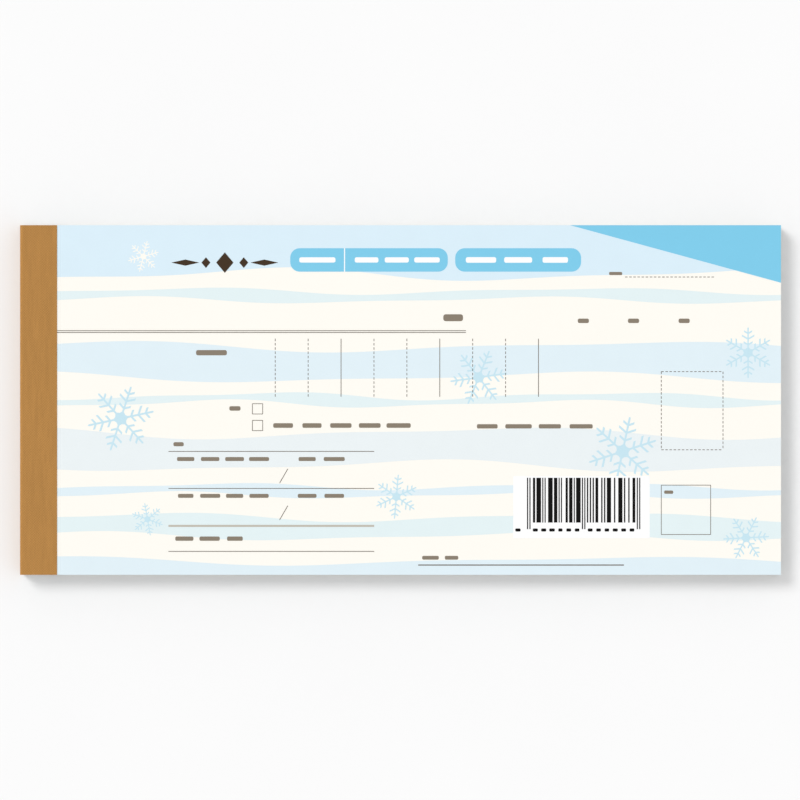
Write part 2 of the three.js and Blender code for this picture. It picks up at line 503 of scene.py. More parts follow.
def placed(name, slot, mesh, body, *replaced, inks=None, bends=False):
    """Adds a piece and hides the solids that it stands for.

    Its finish is its slot's, unless its inks are given. One that bends is left where it was built, not
    attached to its body; the others are attached to theirs.
    """
    for finish in [slot] if inks is None else inks:
        mesh.materials.append(finish_of(finish))
    piece = linked(name, mesh)
    if bends:
        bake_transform(piece)
    else:
        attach(piece, body)
    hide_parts(*replaced)


def finished_mesh(shape, smooth=False):
    """Turns a shape's faces outwards and gives its mesh."""
    bmesh.ops.recalc_face_normals(shape, faces=shape.faces)
    mesh = bpy.data.meshes.new("shape")
    shape.to_mesh(mesh)
    shape.free()
    if smooth:
        mesh.shade_smooth()
        mesh.set_sharp_from_angle(angle=SMOOTH_ANGLE)
    return mesh


def spread(start, end, steps):
    return [start + (end - start) * i / steps for i in range(steps + 1)]


def runs(start, *stops):
    """Places in runs, one to each stop, given as a place and the number of steps to it."""
    places = [start]
    for end, steps in stops:
        if end > places[-1]:
            places += spread(places[-1], end, steps)[1:-1] + [end]
    return places


def arc(middle, radius, first, turn, steps):
    """Points along an arc. Its first angle and its turn are in degrees."""
    x, y = middle
    angles = [math.radians(angle) for angle in spread(first, first + turn, steps)]
    return [(x + radius * math.cos(angle), y + radius * math.sin(angle)) for angle in angles]


def rounded_box(left, low_y, right, high_y, radius, steps=CORNER_STEPS):
    """A rounded rectangle's outline, from its upper right corner round to its lower right one."""
    across = (right - radius, left + radius, left + radius, right - radius)
    up = (high_y - radius, high_y - radius, low_y + radius, low_y + radius)
    return sum((arc(middle, radius, 90 * i, 90, steps) for i, middle in enumerate(zip(across, up))), [])


def fold_columns(start, end):
    """Places along a leaf, close together where it bends."""
    sizes = settings().sizes
    half = sizes.crease_width / 2
    crease_stops = (FOLD_X - half, CREASE_STEPS), (FOLD_X + half, CREASE_STEPS)
    return runs(start, *crease_stops, (FOLD_X + sizes.fold_reach, FOLD_STEPS), (end, PANEL_STEPS))


def slab(first, second):
    """A closed sheet between two grids of points, joined round their four edges."""
    shape = bmesh.new()
    grids = [[[shape.verts.new(point) for point in row] for row in grid] for grid in (first, second)]
    near, far = grids
    last_row, last_column = len(first) - 1, len(first[0]) - 1
    for j in range(last_row):
        for i in range(last_column):
            for grid in grids:
                shape.faces.new((grid[j][i], grid[j][i + 1], grid[j + 1][i + 1], grid[j + 1][i]))
        for i in (0, last_column):
            shape.faces.new((near[j][i], near[j + 1][i], far[j + 1][i], far[j][i]))
    for i in range(last_column):
        for j in (0, last_row):
            shape.faces.new((near[j][i], near[j][i + 1], far[j][i + 1], far[j][i]))
    return finished_mesh(shape, smooth=True)


def straight(y):
    """The shift of a straight edge."""
    return 0.0


def flat_at(z):
    """The same level all along a leaf."""
    return lambda x: z


def leaf(columns, rows, under, over, left_edge=straight, right_edge=straight):
    """A sheet along X and Y. Its levels follow X, and its first and last column are shifted along Y."""

    def across(y):
        return [columns[0] + left_edge(y), *columns[1:-1], columns[-1] + right_edge(y)]

    below, above = ([[(x, y, level(x)) for x in across(y)] for y in rows] for level in (under, over))
    return slab(below, above)


def prism(shape, outline, base, thickness, slot=0):
    """Adds a closed flat piece to a shape: an outline in X and Y, raised from base."""
    bottom, top = [[shape.verts.new((x, y, z)) for x, y in outline] for z in (base, base + thickness)]
    faces = [shape.faces.new(reversed(bottom)), shape.faces.new(top)]
    for i in range(-1, len(outline) - 1):
        faces.append(shape.faces.new((bottom[i], bottom[i + 1], top[i + 1], top[i])))
    for face in faces:
        face.material_index = slot


def flat_print(outlines, base, thickness, ink):
    """Flat shapes of one ink."""
    shape = bmesh.new()
    for outline in outlines:
        prism(shape, outline, base, thickness)
    mesh = finished_mesh(shape)
    mesh.materials.append(finish_of(ink))
    return mesh


def round_rim(shape, axis, radius):
    """Rounds the edges of a shape's two faces across an axis, which is x or z."""
    rim = []
    for edge in shape.edges:
        start, end = (getattr(point.co, axis) for point in edge.verts)
        if abs(start - end) < SAME_HEIGHT:
            rim.append(edge)
    bmesh.ops.bevel(shape, geom=rim, offset=radius, segments=RIM_STEPS, profile=0.5, affect="EDGES")


def tie_shift(y):
    """How far a torn edge lies out of line at a place along it: the ties stand out."""
    sizes = settings().sizes
    share = (y - BOTTOM_Y) / sizes.tie_pitch % 1.0
    on_tie = TIE_START - TIE_FLANK / 2 < share < TIE_END + TIE_FLANK / 2
    return sizes.tie_depth * (0.5 if on_tie else -0.5)


def tie_rows():
    """Places along a perforated edge: both ends of each tie's steep flanks."""
    pitch = settings().sizes.tie_pitch
    shares = (TIE_START - TIE_FLANK, TIE_START, TIE_END, TIE_END + TIE_FLANK)
    ties = range(int((TOP_Y - BOTTOM_Y) / pitch))
    return [BOTTOM_Y, *(BOTTOM_Y + (tie + share) * pitch for tie in ties for share in shares), TOP_Y]


def crease(x):
    """Depth of the front cover's scored line at a place along the cover."""
    sizes = settings().sizes
    away = abs(x - FOLD_X) / (sizes.crease_width / 2)
    return sizes.crease_depth * 0.5 * (1 + math.cos(math.pi * away)) if away < 1 else 0.0


def cut_near_fold(shape):
    """Cuts a shape across the fold, at the places where the leaf under it is divided."""
    for x in fold_columns(TAPE_EDGE_X, FOLD_X + settings().sizes.fold_reach)[1:]:
        parts = shape.verts[:] + shape.edges[:] + shape.faces[:]
        bmesh.ops.bisect_plane(shape, geom=parts, plane_co=(x, 0, 0), plane_no=(1, 0, 0), dist=CUT_SNAP)


def fold_cover_print(shape):
    """Cuts a print on the front cover across the fold, and lowers it into the cover's scored line."""
    cut_near_fold(shape)
    for point in shape.verts:
        point.co.z -= crease(point.co.x)


# Geometry trees


# Points nearer than this become one: in metres, and in a crystal's arm of length 1
SEAM = 1e-7
ARM_SEAM = 1e-5

# Points round a printed mark's corner, and along and across an unused sheet
MARK_CORNER_POINTS = 3
SHEET_POINTS_X = 7
SHEET_POINTS_Y = 4


class Tree(Builder):
    """A geometry tree under construction, with named inputs."""

    def __init__(self, name):
        super().__init__(bpy.data.node_groups.new(name, "GeometryNodeTree"))
        self.tree.interface.new_socket(name="Geometry", in_out="OUTPUT", socket_type="NodeSocketGeometry")

    def inputs(self, *groups):
        """Adds inputs, given as a type and the names that have it, and gives a wire from each."""
        kinds = [(name, kind) for kind, *names in groups for name in names]
        for name, kind in kinds:
            self.tree.interface.new_socket(name=name, in_out="INPUT", socket_type="NodeSocket" + kind)
        entry = self.node("NodeGroupInput")
        return [Wire(self, entry.outputs[name]) for name, _ in kinds]

    def line(self, count, start, step):
        """Points in a line, each one a step from the one before."""
        return self.wire("GeometryNodeMeshLine", {"Count": count, "Start Location": start, "Offset": step})

    def copies(self, points, shape, **more):
        """A real copy of a shape at each point, with its Rotation or Scale."""
        placing = self.wire("GeometryNodeInstanceOnPoints", {"Points": points, "Instance": shape, **more})
        return self.wire("GeometryNodeRealizeInstances", {0: placing})

    def merged(self, geometry, distance):
        return self.wire("GeometryNodeMergeByDistance", {"Geometry": geometry, "Distance": distance})

    def raised(self, sheet, thickness):
        """A flat sheet made into a closed solid."""
        sockets = {"Mesh": sheet, "Offset Scale": thickness, "Individual": False}
        top = self.wire("GeometryNodeExtrudeMesh", sockets, mode="FACES")
        both = self.node("GeometryNodeJoinGeometry")
        for part in (top, self.wire("GeometryNodeFlipFaces", {"Mesh": sheet})):
            self.tree.links.new(part.socket, both.inputs[0])
        return self.merged(Wire(self, both.outputs[0]), SEAM)

    def inked(self, geometry, material, **more):
        return self.wire("GeometryNodeSetMaterial", {"Geometry": geometry, "Material": material, **more})

    def close(self, geometry):
        self.node("NodeGroupOutput", {0: geometry})
        return self.tree


def grown(tree, values, mesh=None):
    """The plain mesh that a geometry tree makes from these inputs."""
    carrier = linked("carrier", mesh or bpy.data.meshes.new("start"))
    modifier = carrier.modifiers.new("tree", "NODES")
    modifier.node_group = tree
    for item in tree.interface.items_tree:
        if item.in_out == "INPUT" and item.name in values:
            modifier[item.identifier] = values[item.name]
    bpy.context.view_layer.update()
    graph = bpy.context.evaluated_depsgraph_get()
    result = bpy.data.meshes.new_from_object(carrier.evaluated_get(graph))
    bpy.data.objects.remove(carrier)
    return result


@cache
def marks_tree():
    """A row of flat printed marks with rounded corners, from the origin along X."""
    tree = Tree("printed marks")
    pitch, size, tall, corner, thickness, shrink, count, seed, ink = tree.inputs(
        ("Float", "Pitch", "Length", "Height", "Corner", "Ink height", "Shrink"),
        ("Int", "Count", "Seed"),
        ("Material", "Ink"),
    )
    outline = tree.wire("GeometryNodeCurvePrimitiveQuadrilateral", {"Width": size, "Height": tall})
    corners = {"Curve": outline, "Count": MARK_CORNER_POINTS, "Radius": corner, "Limit Radius": True}
    rounded = tree.wire("GeometryNodeFilletCurve", corners, mode="POLY")
    mark = tree.raised(tree.wire("GeometryNodeFillCurve", {"Curve": rounded}, mode="NGONS"), thickness)
    narrower = tree.wire("FunctionNodeRandomValue", {"Seed": seed}, 1, data_type="FLOAT")
    scale = tree.vector(1 - narrower * shrink, 1.0, 1.0)
    points = tree.line(count, tree.vector(size * 0.5), tree.vector(pitch))
    return tree.close(tree.inked(tree.copies(points, mark, Scale=scale), ink))


@cache
def crystals_tree():
    """Six-armed snow crystals: one arm's flat sector, turned about each point of the modifier's mesh."""
    tree = Tree("snow crystals")
    centres, arm, arm_count, thickness, ink = tree.inputs(
        ("Geometry", "Geometry"),
        ("Object", "Arm"),
        ("Int", "Arm count"),
        ("Float", "Ink height"),
        ("Material", "Ink"),
    )
    sector = tree.wire("GeometryNodeObjectInfo", {"Object": arm}, "Geometry")
    turns = tree.line(arm_count, (0.0, 0.0, 0.0), (0.0, 0.0, 0.0))
    angle = tree.vector(z=tree.wire("GeometryNodeInputIndex") * (2 * math.pi) / arm_count)
    flat = tree.merged(tree.copies(turns, sector, Rotation=angle), ARM_SEAM)
    stored = partial(tree.wire, "GeometryNodeInputNamedAttribute", data_type="FLOAT")
    size, lean = stored({"Name": "size"}), stored({"Name": "lean"})
    placing = {"Rotation": tree.vector(z=lean), "Scale": tree.vector(size, size, 1.0)}
    crystals = tree.copies(centres, flat, **placing)
    return tree.close(tree.inked(tree.raised(crystals, thickness), ink))


@cache
def set_tree():
    """A form set: a copy under a receipt. Most sheets are nearly flush, and a few stand back."""
    tree = Tree("form set")
    size_x, size_y, thickness, pitch, trim, corner, seed, receipt, copy = tree.inputs(
        ("Float", "Length", "Width", "Thickness", "Pitch", "Trim"),
        ("Vector", "Corner"),
        ("Int", "Seed"),
        ("Material", "Receipt", "Copy"),
    )
    grid = {"Vertices X": SHEET_POINTS_X, "Vertices Y": SHEET_POINTS_Y}
    cube = tree.wire("GeometryNodeMeshCube", {"Size": tree.vector(size_x, size_y, thickness), **grid})
    middle = tree.vector(size_x * 0.5, 0.0, thickness * 0.5)
    sheet = tree.wire("GeometryNodeTransform", {"Geometry": cube, "Translation": middle})
    limits = {"Min": (0.0, 0.0, 0.0), "Max": (1.0, 1.0, 1.0), "Seed": seed}
    draws = tree.wire("FunctionNodeRandomValue", limits, data_type="FLOAT_VECTOR")
    draw_x, draw_y, _ = tree.apart(draws)
    # The cube of a number below 1 is small for most of them
    short_x = 1 - draw_x * draw_x * draw_x * trim / size_x
    short_y = 1 - draw_y * draw_y * draw_y * trim / size_y
    points = tree.line(2, corner, tree.vector(z=pitch))
    sheets = tree.copies(points, sheet, Scale=tree.vector(short_x, short_y, 1.0))
    above_base = tree.apart(tree.wire("GeometryNodeInputPosition"))[2] - tree.apart(corner)[2]
    lower = tree.wire("FunctionNodeCompare", {0: above_base, 1: pitch}, operation="LESS_THAN")
    return tree.close(tree.inked(tree.inked(sheets, receipt), copy, Selection=lower))


# Print


class Row(NamedTuple):
    """A row of printed marks, with its turn in degrees.

    left and down place the left end of its middle line, in millimetres from the page's top left corner.
    """

    ink: str
    left: float
    down: float
    length: float
    height: float
    count: int = 1
    pitch: float = 0.0
    corner: float = 0.0
    turn: float = 0.0
    shrink: float = 0.0


# Strokes, dashes and short marks. A mark's stroke and space are parts of its line's height, and its corner
# is a part of its stroke.
RULE = 0.17
HAIRLINE = 0.15
DASH = 0.6
DASH_PITCH = 1.0
MARK_STROKE = 0.4
MARK_SPACE = 0.32
MARK_CORNER = 0.35
MARK_SHRINK = 0.3

# Where the form's main parts start and end
COVER_RULE_START = 9.03
MARGIN_END = 12.6
NAME_RULE_END = 108.4
COLUMNS_LEFT = 62.05
COLUMN_PITCH = 8.0
COLUMN_DASH_PITCH = 1.037
AMOUNT_COLUMNS = 9
TAX_LEFT = 36.1
TAX_RULE = 50.0
TICK_BOX = 2.5

# The bars of no meaning. The pairs of longer bars are placed and measured in units of the thinnest bar.
BAR_UNIT = 0.29
BARS_LEFT = 123.25
BARS_TOP = 61.4
BAR_LENGTH = 10.9
GUARD_LENGTH = 12.5
GUARD_PLACES = (0, 46, 92)
GUARD_UNITS = 3

# The number of bars between two pairs, and what the widths of bars and gaps are drawn from
BARS_IN_BLOCK = 12
BAR_WIDTHS = (1, 1, 1, 1, 2, 2, 3, 4)
BAR_SEED = 5

# The white ground under the bars, by its upper left and lower right corner
GROUND = ((119.9, 61.0), (153.1, 76.1))
GROUND_CORNER = 0.2

# The small marks below the bars: one to their left, and six under each block
SMALL_MARKS_LEFT = 120.4
SMALL_MARKS_TOP = 73.15
SMALL_MARKS_INSET = 0.45
SMALL_MARKS_IN_BLOCK = 6
SMALL_MARK_HEIGHT = 1.9


def rule(left, down, size, stroke=RULE, turn=0.0, ink="rule"):
    return Row(ink, left, down, size, stroke, turn=turn)


def dashes(left, down, size, turn=0.0, pitch=DASH_PITCH):
    return Row("rule", left, down, DASH, RULE, int(size / pitch + 0.5), pitch, turn=turn)


def marks(left, top, size, height, count=1, ink="word"):
    """A line of short marks. Two or more are shortened a little at random."""
    space, shrink = (height * MARK_SPACE, MARK_SHRINK) if count > 1 else (0.0, 0.0)
    pitch = (size + space) / count
    stroke = height * MARK_STROKE
    corner = stroke * MARK_CORNER
    return Row(ink, left, top + height / 2, pitch - space, stroke, count, pitch, corner, shrink=shrink)


def box(left, top, width, height, side):
    """Four sides, made by side, round a rectangle."""
    flat = [side(left, down, width) for down in (top, top + height)]
    return flat + [side(across, top, height, turn=-90.0) for across in (left, left + width)]


def name_rules(left):
    """The double rule under the name, from a place near the spine."""
    return [rule(left, down, NAME_RULE_END - left) for down in (25.65, 26.09)]


def name_and_date_rows():
    return [
        marks(102.9, 20.4, 4.8, 4.2),
        dashes(147.1, 12.6, 21.6),
        marks(143.2, 10.8, 3.2, 1.9),
        *(marks(left, 21.9, 2.7, 2.7) for left in (135.6, 147.8, 160.1)),
    ]


def amount_rows():
    """The amount's label and its columns: every third line is whole, and the others are dashed."""
    rows = [marks(42.8, 29.4, 7.5, 3.2)]
    for column in range(AMOUNT_COLUMNS):
        line = rule if column % 3 == 2 else partial(dashes, pitch=COLUMN_DASH_PITCH)
        rows.append(line(COLUMNS_LEFT + column * COLUMN_PITCH, 27.6, 14.1, turn=-90.0))
    return rows


def remark_rows():
    """The tick boxes with their marks, the stamp's dashed box and the clerk's box."""
    thin = partial(rule, stroke=HAIRLINE)
    return [
        marks(50.9, 43.2, 2.7, 2.7),
        *box(56.5, 43.4, TICK_BOX, TICK_BOX, thin),
        *box(56.5, 47.45, TICK_BOX, TICK_BOX, thin),
        marks(60.9, 47.3, 34.2, 2.8, 5),
        marks(110.2, 47.6, 29.6, 2.6, 4),
        *box(155.9, 35.6, 15.0, 19.0, dashes),
        *box(155.9, 63.2, 12.0, 12.0, thin),
        marks(156.6, 63.9, 2.2, 2.0),
    ]


def tax_rows():
    """The block of tax lines at the lower left, and the long line beside it."""
    rows = [
        marks(37.3, 52.0, 2.5, 2.5),
        *(rule(TAX_LEFT, down, TAX_RULE) for down in (55.0, 64.0, 79.3)),
        rule(TAX_LEFT, 73.1, TAX_RULE, 0.5, ink="tint"),
        marks(37.3, 74.9, 17.6, 2.6, 3),
        marks(97.6, 79.7, 9.5, 2.3, 2),
        rule(96.8, 82.62, 50.0, 0.27),
    ]
    for top in (55.65, 64.6):
        rows += [marks(37.7, top, 23.0, 2.4, 4), marks(66.9, top, 12.4, 2.4, 2)]
        rows.append(rule(65.1, top + 3.6, 4.0, turn=-120.0))
    return rows


def form_rows():
    return name_and_date_rows() + amount_rows() + remark_rows() + tax_rows()


def label_rows():
    """The white marks on the blue labels at the top."""
    return [
        marks(67.9, 6.85, 8.8, 3.2, ink="white"),
        marks(81.1, 6.85, 21.0, 3.2, 3, "white"),
        marks(108.1, 6.75, 26.0, 3.4, 3, "white"),
        rule(78.9, 5.6, 5.7, 0.25, -90.0, "white"),
    ]


def bar_block(left, size, draw):
    """Bars of random widths, with random gaps between them, that fill a length."""
    widths = [draw.choice(BAR_WIDTHS) for _ in range(2 * BARS_IN_BLOCK + 1)]
    unit = size / sum(widths)
    middle = BARS_TOP + BAR_LENGTH / 2
    starts = [left + unit * sum(widths[:i]) for i in range(len(widths))]
    return [Row("black", starts[i], middle, unit * widths[i], BAR_LENGTH) for i in range(1, len(widths), 2)]


def bar_rows():
    """Bars of no meaning between three pairs of longer bars, with small marks below them."""
    draw = random.Random(BAR_SEED)
    small = partial(marks, top=SMALL_MARKS_TOP, height=SMALL_MARK_HEIGHT, ink="black")
    guards = [BARS_LEFT + place * BAR_UNIT for place in GUARD_PLACES]
    middle = BARS_TOP + GUARD_LENGTH / 2
    rows = [small(SMALL_MARKS_LEFT, size=1.3)]
    rows += [Row("black", guard, middle, BAR_UNIT, GUARD_LENGTH, 2, 2 * BAR_UNIT) for guard in guards]
    for guard, right in zip(guards, guards[1:]):
        left = guard + GUARD_UNITS * BAR_UNIT
        rows += bar_block(left, right - left, draw)
        size = right - left - 2 * SMALL_MARKS_INSET
        rows.append(small(left + SMALL_MARKS_INSET, size=size, count=SMALL_MARKS_IN_BLOCK))
    return rows


def on_page(left, down):
    """A place on the page, given in millimetres from its top left corner."""
    return SPINE_X + left * MM, TOP_Y - down * MM


def printed(rows, base, thickness):
    """Meshes of rows of marks, each placed on the page at a height."""
    meshes = []
    for seed, row in enumerate(rows):
        values = {
            "Pitch": row.pitch * MM,
            "Length": row.length * MM,
            "Height": row.height * MM,
            "Corner": row.corner * MM,
            "Ink height": thickness,
            "Shrink": row.shrink,
            "Count": row.count,
            "Seed": seed,
            "Ink": finish_of(row.ink),
        }
        mesh = grown(marks_tree(), values)
        place = Matrix.Translation((*on_page(row.left, row.down), base))
        mesh.transform(place @ Matrix.Rotation(math.radians(row.turn), 4, "Z"))
        meshes.append(mesh)
    return meshes


def joined_print(meshes):
    """One mesh of several prints, with one slot for each ink."""
    shape = bmesh.new()
    inks = []
    for mesh in meshes:
        first = len(shape.faces)
        shape.from_mesh(mesh)
        shape.faces.ensure_lookup_table()
        inks += [ink for ink in mesh.materials if ink not in inks]
        for face in shape.faces[first:]:
            face.material_index = inks.index(mesh.materials[face.material_index])
    merged = bpy.data.meshes.new("print")
    shape.to_mesh(merged)
    shape.free()
    for ink in inks:
        merged.materials.append(ink)
    return merged


# Background art


class Band(NamedTuple):
    """A wavy band of colour across the page, in millimetres from its top edge."""

    ink: str
    top: float
    bottom: float
    swell: float
    wave: float
    phase: float


BANDS = (
    Band("band", 0.0, 12.0, 1.3, 118.0, 0.6),
    Band("mist", 16.0, 18.2, 0.7, 96.0, 2.1),
    Band("haze", 29.5, 37.0, 1.1, 132.0, 3.9),
    Band("mist", 41.5, 43.4, 0.8, 84.0, 0.3),
    Band("pale", 50.5, 58.5, 1.2, 124.0, 5.2),
    Band("haze", 63.5, 65.6, 0.7, 90.0, 1.4),
    Band("mist", 71.0, 75.6, 0.9, 108.0, 2.9),
    Band("haze", 81.6, 85.0, 0.9, 140.0, 4.6),
)
BAND_INKS = ("band", "haze", "mist", "pale")
WAVE_STEP = 2.5 * MM

FEWEST_WAVE_STEPS = 4

# The second wave in a band's edge, as parts of the first one
RIPPLE = 0.45
RIPPLE_RATE = 1.9
RIPPLE_PHASE = 2
RIPPLE_LAG = 3

# How far a band's lower edge lags behind its upper one, as an angle
EDGE_LAG = 0.9


class Crystal(NamedTuple):
    """A snow crystal's middle on the page and its radius, in millimetres, and its lean in degrees."""

    left: float
    down: float
    radius: float
    lean: float


BLUE_CRYSTALS = (
    Crystal(24.5, 47.0, 8.2, 12.0),
    Crystal(31.0, 71.5, 4.0, 40.0),
    Crystal(111.5, 37.0, 7.0, 8.0),
    Crystal(91.5, 66.0, 5.4, 25.0),
    Crystal(146.5, 55.0, 8.6, 18.0),
    Crystal(176.5, 76.0, 5.6, 3.0),
    Crystal(177.0, 31.0, 6.2, 30.0),
)
WHITE_CRYSTALS = (Crystal(30.0, 7.6, 3.9, 16.0),)

# A crystal of radius 1: its core, the half widths of arm and branch, where the bare arm starts and tapers,
# and each pair of branches as its place along the arm and its reach
CORE = 0.17
HALF_ARM = 0.027
HALF_BRANCH = 0.033
ARM_START = 0.21
ARM_TAPER = 0.97
BRANCHES = ((0.33, 0.17), (0.55, 0.25), (0.77, 0.15))
BRANCH_ANGLE = math.radians(60)
ARM_COUNT = 6

# The ornament's middle, and the offset, half width and half height of each of its diamonds
ORNAMENT_LEFT = 49.8
ORNAMENT_DOWN = 9.1
DIAMONDS = ((0.0, 2.1, 2.5), (-4.6, 1.1, 1.3), (-9.6, 3.4, 0.75), (4.6, 1.1, 1.3), (9.6, 3.4, 0.75))

# Where the blue corner starts and ends, and the labels' ends, top, bottom and corner radius
CORNER_LEFT = 133.7
CORNER_DOWN = 14.0
LABELS = ((65.7, 104.0), (105.8, 136.4))
LABEL_TOP = 5.6
LABEL_BOTTOM = 11.3
LABEL_CORNER = 2.3


def wavy_edge(middle, band, left, right, lag):
    """Points of a band's edge, from left to right."""
    points = []
    steps = max(FEWEST_WAVE_STEPS, round((right - left) / WAVE_STEP))
    for x in spread(left, right, steps):
        along = 2 * math.pi * (x - SPINE_X) / MM / band.wave
        ripple = RIPPLE * math.sin(RIPPLE_RATE * along + RIPPLE_PHASE * band.phase + RIPPLE_LAG * lag)
        rise = math.sin(along + band.phase + lag) + ripple
        points.append((x, TOP_Y - (middle + band.swell * rise) * MM))
    return points


def band_shape(left, right, base, thickness):
    """The bands between two places along the page. The first and last run to the page's edges."""
    shape = bmesh.new()
    for band in BANDS:
        upper = wavy_edge(band.top, band, left, right, 0.0)
        lower = wavy_edge(band.bottom, band, left, right, EDGE_LAG)
        if band is BANDS[0]:
            upper = [(left, TOP_Y), (right, TOP_Y)]
        if band is BANDS[-1]:
            lower = [(left, BOTTOM_Y), (right, BOTTOM_Y)]
        prism(shape, lower + upper[::-1], base, thickness, BAND_INKS.index(band.ink))
    return shape


def arm_sector():
    """One sixth of a snow crystal of radius 1, as a flat face: an even arm with pairs of branches."""
    half_sector = math.pi / ARM_COUNT
    side = [(CORE * math.cos(half_sector), CORE * math.sin(half_sector)), (ARM_START, HALF_ARM)]
    for root, reach in BRANCHES:
        along, up = reach * math.cos(BRANCH_ANGLE), reach * math.sin(BRANCH_ANGLE)
        near, far = root - HALF_BRANCH, root + HALF_BRANCH
        tips = [(near + along, HALF_ARM + up), (far + along, HALF_ARM + up)]
        side += [(near, HALF_ARM), *tips, (far, HALF_ARM)]
    side.append((ARM_TAPER, HALF_ARM))
    outline = [(0.0, 0.0)] + [(x, -y) for x, y in side] + [(1.0, 0.0)] + side[::-1]
    mesh = bpy.data.meshes.new("arm sector")
    mesh.from_pydata([(x, y, 0.0) for x, y in outline], [], [tuple(range(len(outline)))])
    return mesh


def crystal_print(crystals, base, thickness, ink):
    """Snow crystals of one ink at their places on the page."""
    start = bpy.data.meshes.new("crystal centres")
    start.from_pydata([(*on_page(crystal.left, crystal.down), base) for crystal in crystals], [], [])
    sizes = [crystal.radius * MM for crystal in crystals]
    leans = [math.radians(crystal.lean) for crystal in crystals]
    for name, values in (("size", sizes), ("lean", leans)):
        start.attributes.new(name, "FLOAT", "POINT").data.foreach_set("value", values)
    arm = bpy.data.objects.new("arm sector", arm_sector())
    values = {"Arm": arm, "Arm count": ARM_COUNT, "Ink height": thickness, "Ink": finish_of(ink)}
    mesh = grown(crystals_tree(), values, start)
    bpy.data.objects.remove(arm)
    return mesh


def corner_and_labels():
    """Outlines of the blue corner at the top right and of the two rounded labels."""
    corner_x, corner_y = on_page(CORNER_LEFT, CORNER_DOWN)
    outlines = [[(corner_x, TOP_Y), (FORE_EDGE_X, corner_y), (FORE_EDGE_X, TOP_Y)]]
    for left, right in LABELS:
        ends = (*on_page(left, LABEL_BOTTOM), *on_page(right, LABEL_TOP))
        outlines.append(rounded_box(*ends, LABEL_CORNER * MM))
    return outlines


def ornament():
    """Outlines of a drawn-out row of diamonds near the top of the page."""
    outlines = []
    for offset, wide, tall in DIAMONDS:
        across, down = ORNAMENT_LEFT + offset, ORNAMENT_DOWN
        ends = ((across - wide, down), (across, down + tall), (across + wide, down), (across, down - tall))
        outlines.append([on_page(*end) for end in ends])
    return outlines


# Pieces


# Heights of prints as parts of their page's ink, so that each later print stands over the ones before it
PAGE_BAND_LAYER = 0.5
PAGE_CRYSTAL_LAYER = 0.75
CRYSTAL_LAYER = 1.6
LABEL_LAYER = 2.0
GROUND_LAYER = 2.16
FORM_LAYER = 2.4
MARK_LAYER = 2.6

COPY_INKS = {"letter": "copy_ink", "rule": "copy_ink", "tint": "copy_word", "word": "copy_word"}


def print_base(node):
    """The top of a sheet's paper, which its print lies on."""
    return low(node).z + settings().sizes.sheet_body


def flat_leaf(node, columns, rows, **edges):
    """A sheet as thick as the paper under its print."""
    return leaf(columns, rows, flat_at(low(node).z), flat_at(print_base(node)), **edges)


def page_bands(node, left, right, folds=False):
    """The background bands of a receipt or of its bound margin."""
    shape = band_shape(left, right, print_base(node), settings().sizes.page_ink * PAGE_BAND_LAYER)
    if folds:
        cut_near_fold(shape)
    return finished_mesh(shape)


def page_form(node, inks):
    """The form printed on a sheet beyond its bound margin, with some of its inks changed for others."""
    base, ink = print_base(node), settings().sizes.page_ink
    rows = [row for row in form_rows() if row.left > MARGIN_END] + name_rules(MARGIN_END)
    rows = [row._replace(ink=inks.get(row.ink, row.ink)) for row in rows]
    diamonds = flat_print(ornament(), base, ink, inks.get("letter", "letter"))
    return joined_print([diamonds, *printed(rows, base, ink)])


def add_copy(number, columns, rows, *stub):
    """A copy with its print. With a stub, it hides the stub's solid too, its leaf is left unattached and its
    print goes on the copy's body; without one, both go on the root.
    """
    node, name = "copy_sheet_" + number, "copy_" + number
    body = node if stub else "root"
    sheet = flat_leaf(node, columns, spread(BOTTOM_Y, TOP_Y, rows))
    placed(name + "_leaf", "copy_paper", sheet, body, node, *stub, bends=bool(stub))
    placed(name + "_form", "copy_paper", page_form(node, COPY_INKS), body, inks=())


def add_margin(number, node, columns, *stub):
    """A receipt's bound margin with its bands. With a stub, it hides the stub's solid too and both are left
    unattached, the bands cut across the fold; without one, both go on the root.
    """
    name, body = "receipt_" + number + "_margin", node if stub else "root"
    sheet = flat_leaf(node, columns, tie_rows(), right_edge=tie_shift)
    bands = page_bands(node, TAPE_EDGE_X, PERFORATION_X - PRINT_MARGIN, folds=bool(stub))
    placed(name, "receipt_paper", sheet, body, node, *stub, bends=bool(stub))
    placed(name + "_bands", "receipt_paper", bands, body, inks=BAND_INKS, bends=bool(stub))


def add_receipt(number):
    """A receipt that tears off along its toothed edge, with its print."""
    node, name = "receipt_sheet_" + number, "receipt_" + number
    columns = spread(PERFORATION_X + TORN_GAP, FORE_EDGE_X - SHEET_INSET, SHEET_COLUMNS)
    sheet = flat_leaf(node, columns, tie_rows(), left_edge=tie_shift)
    bands = page_bands(node, PERFORATION_X + PRINT_MARGIN, FORE_EDGE_X - PRINT_MARGIN)
    crystal_ink = settings().sizes.page_ink * PAGE_CRYSTAL_LAYER
    crystals = crystal_print(BLUE_CRYSTALS, print_base(node), crystal_ink, "crystal")
    placed(name + "_leaf", "receipt_paper", sheet, node, node)
    placed(name + "_bands", "receipt_paper", bands, node, inks=BAND_INKS)
    placed(name + "_crystals", "receipt_paper", crystals, node, inks=())
    placed(name + "_form", "receipt_paper", page_form(node, {}), node, inks=())


class BookOperator(bpy.types.Operator):
    """What all of the book's operators share."""

    bl_options = {"REGISTER", "UNDO"}


